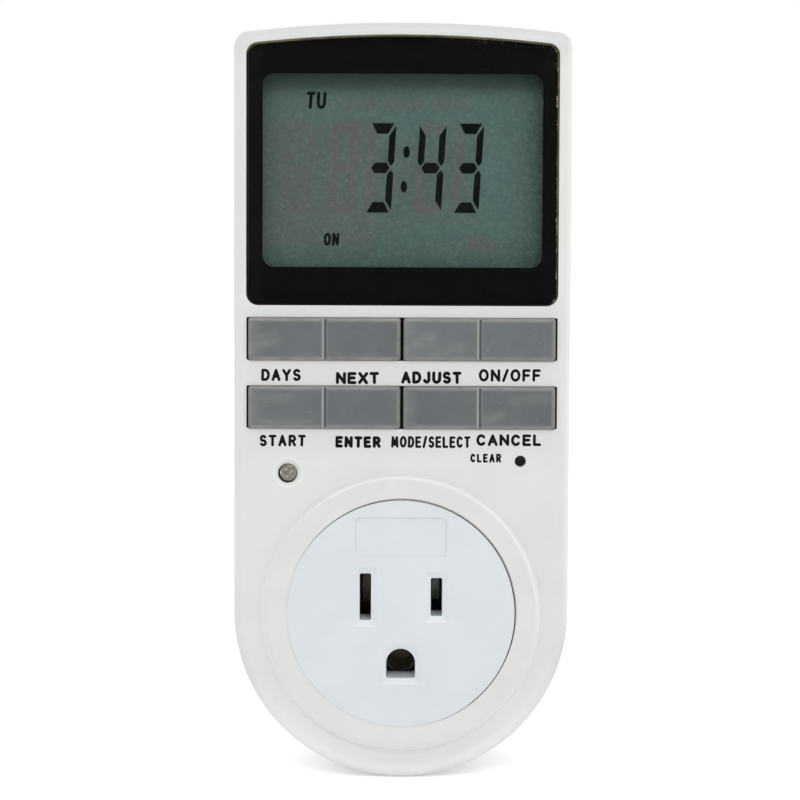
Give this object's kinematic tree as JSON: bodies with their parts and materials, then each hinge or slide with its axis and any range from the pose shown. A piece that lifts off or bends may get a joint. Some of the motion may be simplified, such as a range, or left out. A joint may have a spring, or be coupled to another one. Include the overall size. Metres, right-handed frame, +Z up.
{
  "type": "plug-in timer",
  "caption": "Plug-in digital outlet timer with a windowed display, grey rocker keys, an indicator and a grounded outlet on its rounded lower end.",
  "frame": {"origin": "centre of the round plug boss on the back, in the plane that rests on the wall plate; the outlet on the face and the round lower end share this centre", "axes": "+Z up along the case towards the display, +Y out of the back along the plug blades, +X to the right as the user faces the timer"},
  "size_m": [0.06, 0.0551, 0.135],
  "materials": {
    "case_white": "satin white moulded plastic",
    "outlet_white": "satin white moulded plastic, slightly cooler than the case",
    "carrier_plastic": "black moulded plastic",
    "window_acrylic": "clear polished acrylic",
    "border_black": "black printed border behind the window",
    "display_glass": "clear glass with polariser",
    "reflector_sheet": "grey green reflector sheet",
    "backing_foam": "grey foam pad",
    "frame_plastic": "natural white plastic",
    "strip_rubber": "layered conductive rubber",
    "key_grey": "mid grey moulded plastic, slightly scratched",
    "keypad_silicone": "translucent grey silicone",
    "carbon_rubber": "conductive carbon rubber",
    "indicator_epoxy": "translucent grey beige epoxy",
    "circuit_board": "tan paper laminate",
    "chip_resin": "black resin",
    "switch_plastic": "black plastic",
    "plunger_plastic": "black plastic",
    "cell_steel": "nickel plated steel",
    "tinned_metal": "tin plated",
    "screw_steel": "zinc plated steel",
    "wire_insulation": "vinyl insulated copper",
    "relay_plastic": "blue plastic",
    "relay_iron": "nickel plated iron",
    "coil_copper": "enamelled copper winding",
    "contact_brass": "phosphor bronze",
    "blade_brass": "plain brass, lightly polished",
    "film_capacitor_case": "yellow plastic box",
    "capacitor_sleeve": "dark vinyl sleeve",
    "varistor_coat": "blue epoxy coat",
    "diode_body": "black epoxy",
    "resistor_body": "pale blue grey cement coat"
  },
  "bodies": {
    "case": {"front_cover": "case_white", "rear_cover": "case_white", "case_screws": "screw_steel", "display_window": "window_acrylic", "window_border": "border_black", "display_front_glass": "display_glass", "display_rear_glass": "display_glass", "display_reflector": "reflector_sheet", "display_backing": "backing_foam", "display_frame": "frame_plastic", "contact_strip": "strip_rubber", "silicone_keypad": "keypad_silicone", "carbon_pills": "carbon_rubber", "indicator_light": "indicator_epoxy", "indicator_leads": "tinned_metal", "reset_switch": "switch_plastic", "control_board": "circuit_board", "control_chip": "chip_resin", "clock_crystal": "cell_steel", "backup_battery": "cell_steel", "battery_tabs": "tinned_metal", "ribbon_wires": "wire_insulation", "board_screws": "screw_steel", "power_board": "circuit_board", "relay_case": "relay_plastic", "relay_base": "switch_plastic", "relay_yoke": "relay_iron", "relay_bobbin": "switch_plastic", "relay_coil": "coil_copper", "relay_fixed_contact": "contact_brass", "film_capacitor": "film_capacitor_case", "smoothing_capacitor": "capacitor_sleeve", "surge_varistor": "varistor_coat", "rectifier_diodes": "diode_body", "dropper_resistor": "resistor_body", "input_fuse": "resistor_body", "outlet_face": "outlet_white", "outlet_screws": "screw_steel", "contact_carrier": "carrier_plastic", "neutral_contact": "contact_brass", "line_contact": "contact_brass", "ground_contact": "contact_brass", "neutral_blade": "blade_brass", "line_blade": "blade_brass", "ground_pin": "blade_brass", "blade_clamp": "carrier_plastic", "line_wire": "wire_insulation", "neutral_wire": "wire_insulation", "switched_wire": "wire_insulation"},
    "reset_plunger": {"reset_plunger": "plunger_plastic"},
    "relay_armature": {"relay_armature": "relay_iron", "relay_leaf": "contact_brass"},
    "upper_left_rocker": {"upper_left_rocker": "key_grey"},
    "upper_right_rocker": {"upper_right_rocker": "key_grey"},
    "lower_left_rocker": {"lower_left_rocker": "key_grey"},
    "lower_right_rocker": {"lower_right_rocker": "key_grey"}
  },
  "joints": [
    {"name": "upper_left_rocker_tilt", "type": "hinge", "parent": "case", "child": "upper_left_rocker", "pos_m": [-0.01378, -0.02985, 0.04893], "axis": [0, 0, 1], "range_deg": [-2.8, 2.8], "stiffness_Nm_per_rad": 0.24, "deforming": ["silicone_keypad"]},
    {"name": "upper_right_rocker_tilt", "type": "hinge", "parent": "case", "child": "upper_right_rocker", "pos_m": [0.01378, -0.02985, 0.04893], "axis": [0, 0, 1], "range_deg": [-2.8, 2.8], "stiffness_Nm_per_rad": 0.24, "deforming": ["silicone_keypad"]},
    {"name": "lower_left_rocker_tilt", "type": "hinge", "parent": "case", "child": "lower_left_rocker", "pos_m": [-0.01378, -0.02985, 0.03678], "axis": [0, 0, 1], "range_deg": [-2.8, 2.8], "stiffness_Nm_per_rad": 0.24, "deforming": ["silicone_keypad"]},
    {"name": "lower_right_rocker_tilt", "type": "hinge", "parent": "case", "child": "lower_right_rocker", "pos_m": [0.01378, -0.02985, 0.03678], "axis": [0, 0, 1], "range_deg": [-2.8, 2.8], "stiffness_Nm_per_rad": 0.24, "deforming": ["silicone_keypad"]},
    {"name": "reset_plunger_press", "type": "slide", "parent": "case", "child": "reset_plunger", "axis": [0, 1, 0], "range_m": [0, 0.00025], "stiffness_N_per_m": 6000},
    {"name": "relay_armature_pull", "type": "hinge", "parent": "case", "child": "relay_armature", "pos_m": [-0.01475, -0.02013, 0.05148], "axis": [1, 0, 0], "range_deg": [0, 4], "stiffness_Nm_per_rad": 0.03}
  ]
}
